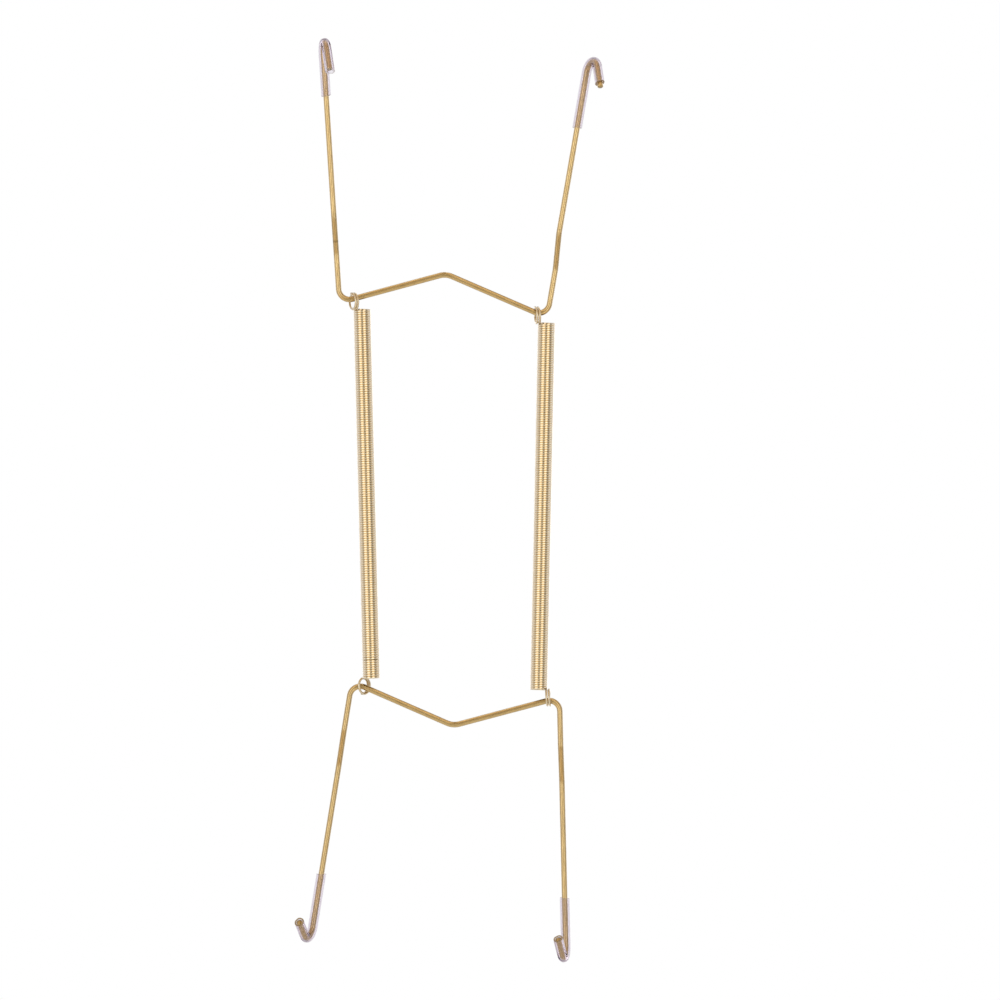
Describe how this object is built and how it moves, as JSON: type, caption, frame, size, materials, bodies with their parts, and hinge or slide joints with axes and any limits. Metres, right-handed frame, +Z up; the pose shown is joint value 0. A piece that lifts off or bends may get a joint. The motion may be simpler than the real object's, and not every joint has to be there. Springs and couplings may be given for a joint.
{
  "type": "wire plate hanger",
  "caption": "Sprung wire plate hanger: bent brass-coloured wire yokes with clear-sleeved hooks, drawn together by close-wound extension springs to grip a plate's rim on a wall.",
  "frame": {"origin": "hanging point: underside of the wire at the upper yoke's apex, in the middle of the wire", "axes": "+Z up as it hangs, -Y to the front where the hooks curl and the plate lies, +X to the right seen from the front"},
  "size_m": [0.0816, 0.0171, 0.243],
  "materials": {
    "yoke_wire": "drawn wire, brass plated, bright with some tarnish",
    "spring_wire": "fine drawn wire, pale brass plate, bright",
    "clear_sleeve": "clear soft vinyl tube, slightly milky"
  },
  "bodies": {
    "upper_yoke": {"upper_yoke": "yoke_wire", "upper_left_sleeve": "clear_sleeve", "upper_right_sleeve": "clear_sleeve"},
    "left_spring": {"left_spring": "spring_wire"},
    "right_spring": {"right_spring": "spring_wire"},
    "lower_yoke": {"lower_yoke": "yoke_wire", "lower_left_sleeve": "clear_sleeve", "lower_right_sleeve": "clear_sleeve"}
  },
  "joints": [
    {"name": "upper_swing", "type": "hinge", "parent": "upper_yoke", "child": "left_spring", "pos_m": [-0.02399, 0, -0.00552], "axis": [0.9971, 0, -0.0763], "range_deg": [-120, 120]},
    {"name": "stretch", "type": "slide", "parent": "left_spring", "child": "right_spring", "axis": [0, 0, -1], "range_m": [0, 0.118], "stiffness_N_per_m": 272, "springref_m": -0.016, "deforming": ["left_spring", "right_spring"]},
    {"name": "lower_swing", "type": "hinge", "parent": "right_spring", "child": "lower_yoke", "pos_m": [-0.02123, 0, -0.10765], "axis": [0.9972, 0, -0.0742], "range_deg": [-120, 120]}
  ]
}
